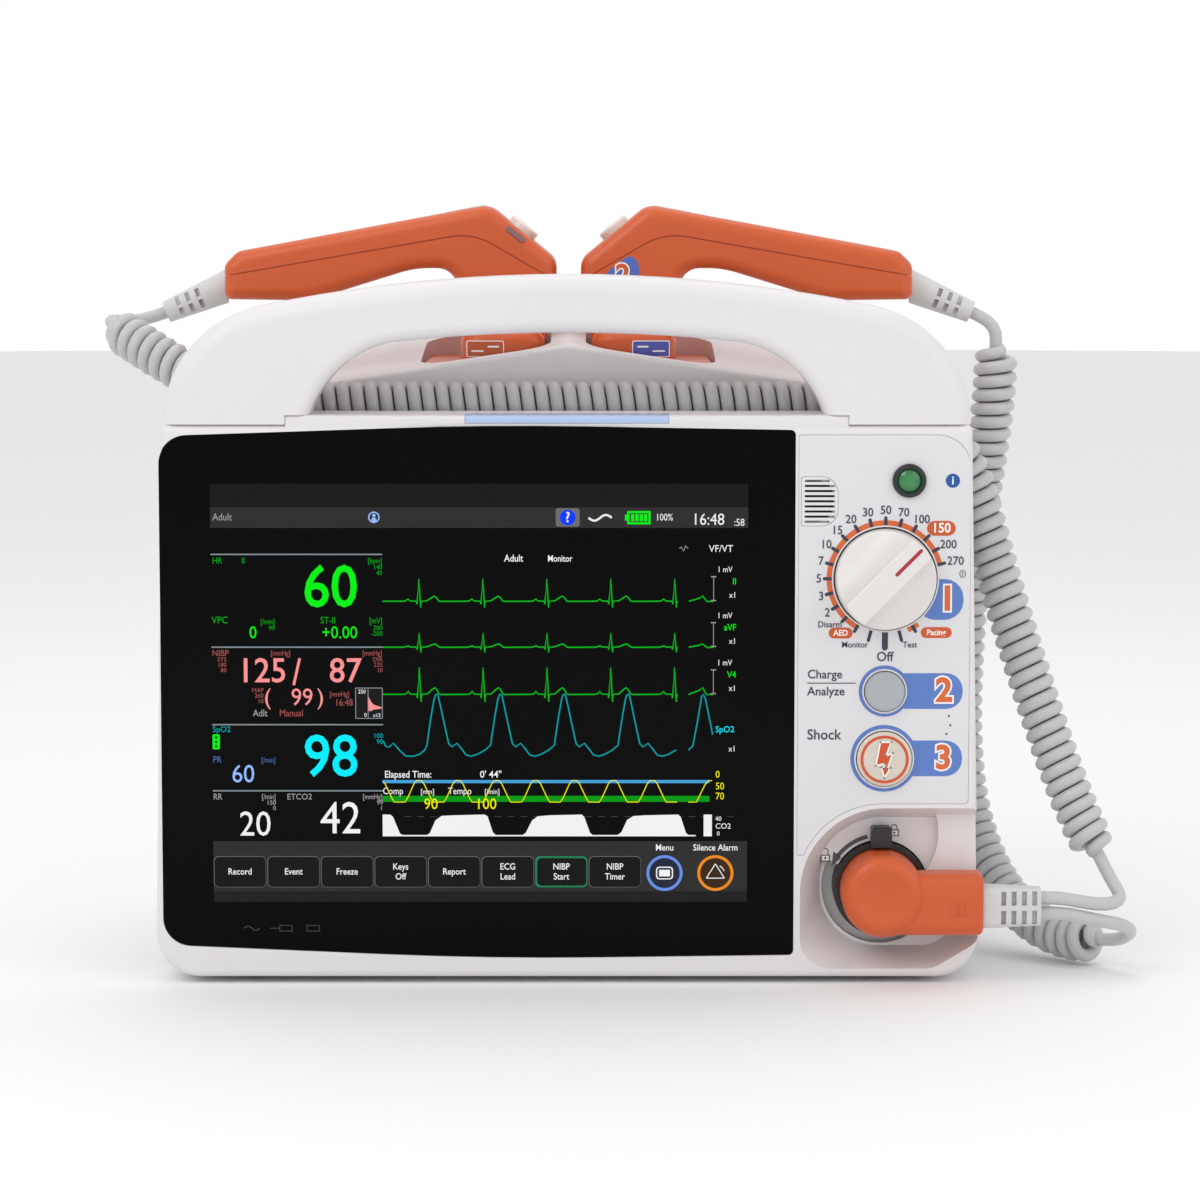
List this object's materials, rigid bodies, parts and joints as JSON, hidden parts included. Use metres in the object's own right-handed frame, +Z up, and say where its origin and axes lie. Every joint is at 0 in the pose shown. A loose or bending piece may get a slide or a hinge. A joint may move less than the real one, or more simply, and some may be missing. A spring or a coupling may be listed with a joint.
{
  "type": "monitor defibrillator",
  "caption": "Portable monitor defibrillator with a large screen, rotary energy selector, charge and shock buttons, and external paddles on curly cords stowed behind its handle.",
  "frame": {"origin": "middle of the footprint, on the surface that the feet stand on, measured without the cords and their plug", "axes": "+Z up, the screen faces -Y, +X to the right seen from the front"},
  "size_m": [0.412, 0.21, 0.3004],
  "materials": {
    "housing_plastic": "fine moulded texture",
    "screen_glass": "black-backed cover glass",
    "black_plastic": "moulded",
    "display": "display",
    "label_sheet": "printed sheet",
    "alarm_blue": "translucent",
    "grille_plastic": "moulded",
    "green_lens": "lens",
    "steel": "plated",
    "electrode_steel": "brushed",
    "blue_plastic": "moulded",
    "button_grey": "satin",
    "button_clear": "translucent",
    "orange_plastic": "satin moulded",
    "relief_rubber": "soft moulded",
    "cord_jacket": "polyurethane jacket",
    "rubber": "matte",
    "paper": "thermal paper",
    "battery_plastic": "moulded",
    "brass": "plated",
    "board": "laminate",
    "aluminium": "plain"
  },
  "bodies": {
    "console": {"front_housing": "housing_plastic", "rear_housing": "housing_plastic", "top_deck": "housing_plastic", "carry_handle": "housing_plastic", "paddle_tray": "housing_plastic", "side_panel": "housing_plastic", "charge_collar": "housing_plastic", "shock_collar": "housing_plastic", "screen_glass": "screen_glass", "glass_gasket": "black_plastic", "speaker": "black_plastic", "lamp_bezel": "black_plastic", "paddle_socket": "black_plastic", "selector_switch": "black_plastic", "recorder_frame": "black_plastic", "mains_inlet": "black_plastic", "button_switches": "black_plastic", "shock_relay": "black_plastic", "display_module": "display", "control_overlay": "label_sheet", "alarm_lamp": "alarm_blue", "speaker_grille": "grille_plastic", "lamp_lens": "green_lens", "chassis": "steel", "housing_screws": "steel", "sensor_sockets": "blue_plastic", "plug_body": "orange_plastic", "plug_strain_relief": "relief_rubber", "left_paddle_lead": "cord_jacket", "left_curly_cord": "cord_jacket", "upper_plug_lead": "cord_jacket", "right_paddle_lead": "cord_jacket", "right_curly_cord": "cord_jacket", "lower_plug_lead": "cord_jacket", "rubber_feet": "rubber", "paper_roll": "paper", "nibp_port": "brass", "main_board": "board", "high_voltage_board": "board", "energy_capacitor": "aluminium", "power_supply": "aluminium", "waveform_inductor": "aluminium"},
    "energy_knob": {"energy_knob": "housing_plastic", "selector_shaft": "steel"},
    "charge_button": {"charge_button": "button_grey"},
    "shock_button": {"shock_button": "button_clear"},
    "lock_ring": {"lock_ring": "black_plastic"},
    "recorder_door": {"recorder_door": "housing_plastic", "platen_roller": "rubber"},
    "battery_pack": {"battery_pack": "battery_plastic"},
    "left_paddle": {"left_paddle_upper_shell": "orange_plastic", "left_paddle_lower_shell": "orange_plastic", "left_paddle_electrode": "electrode_steel", "left_paddle_strain_relief": "relief_rubber"},
    "right_paddle": {"right_paddle_upper_shell": "orange_plastic", "right_paddle_lower_shell": "orange_plastic", "right_paddle_electrode": "electrode_steel", "right_paddle_strain_relief": "relief_rubber"},
    "left_paddle_button": {"left_paddle_button": "button_clear"},
    "right_paddle_button": {"right_paddle_button": "button_clear"}
  },
  "joints": [
    {"name": "energy_knob_turn", "type": "hinge", "parent": "console", "child": "energy_knob", "pos_m": [0.1224, -0.09, 0.1582], "axis": [0, -1, 0], "range_deg": [-30, 255]},
    {"name": "charge_press", "type": "slide", "parent": "console", "child": "charge_button", "axis": [0, 1, 0], "range_m": [0, 0.002], "stiffness_N_per_m": 800, "springref_m": -0.001},
    {"name": "shock_press", "type": "slide", "parent": "console", "child": "shock_button", "axis": [0, 1, 0], "range_m": [0, 0.0025], "stiffness_N_per_m": 800, "springref_m": -0.001},
    {"name": "lock_ring_turn", "type": "hinge", "parent": "console", "child": "lock_ring", "pos_m": [0.122, -0.074, 0.036], "axis": [0, -1, 0], "range_deg": [0, 60]},
    {"name": "recorder_door_open", "type": "hinge", "parent": "console", "child": "recorder_door", "pos_m": [-0.1503, 0.042, 0.1085], "axis": [0, -1, 0], "range_deg": [0, 75]},
    {"name": "battery_pack_slide", "type": "slide", "parent": "console", "child": "battery_pack", "axis": [0, 1, 0], "range_m": [0, 0.055]},
    {"name": "left_paddle_lift", "type": "slide", "parent": "console", "child": "left_paddle", "axis": [0, 0, 1], "range_m": [0, 0.06]},
    {"name": "right_paddle_lift", "type": "slide", "parent": "console", "child": "right_paddle", "axis": [0, 0, 1], "range_m": [0, 0.06]},
    {"name": "left_paddle_button_press", "type": "slide", "parent": "left_paddle", "child": "left_paddle_button", "axis": [-0.632, 0, -0.775], "range_m": [0, 0.0015], "stiffness_N_per_m": 800, "springref_m": -0.001},
    {"name": "right_paddle_button_press", "type": "slide", "parent": "right_paddle", "child": "right_paddle_button", "axis": [0.632, 0, -0.775], "range_m": [0, 0.0015], "stiffness_N_per_m": 800, "springref_m": -0.001}
  ]
}
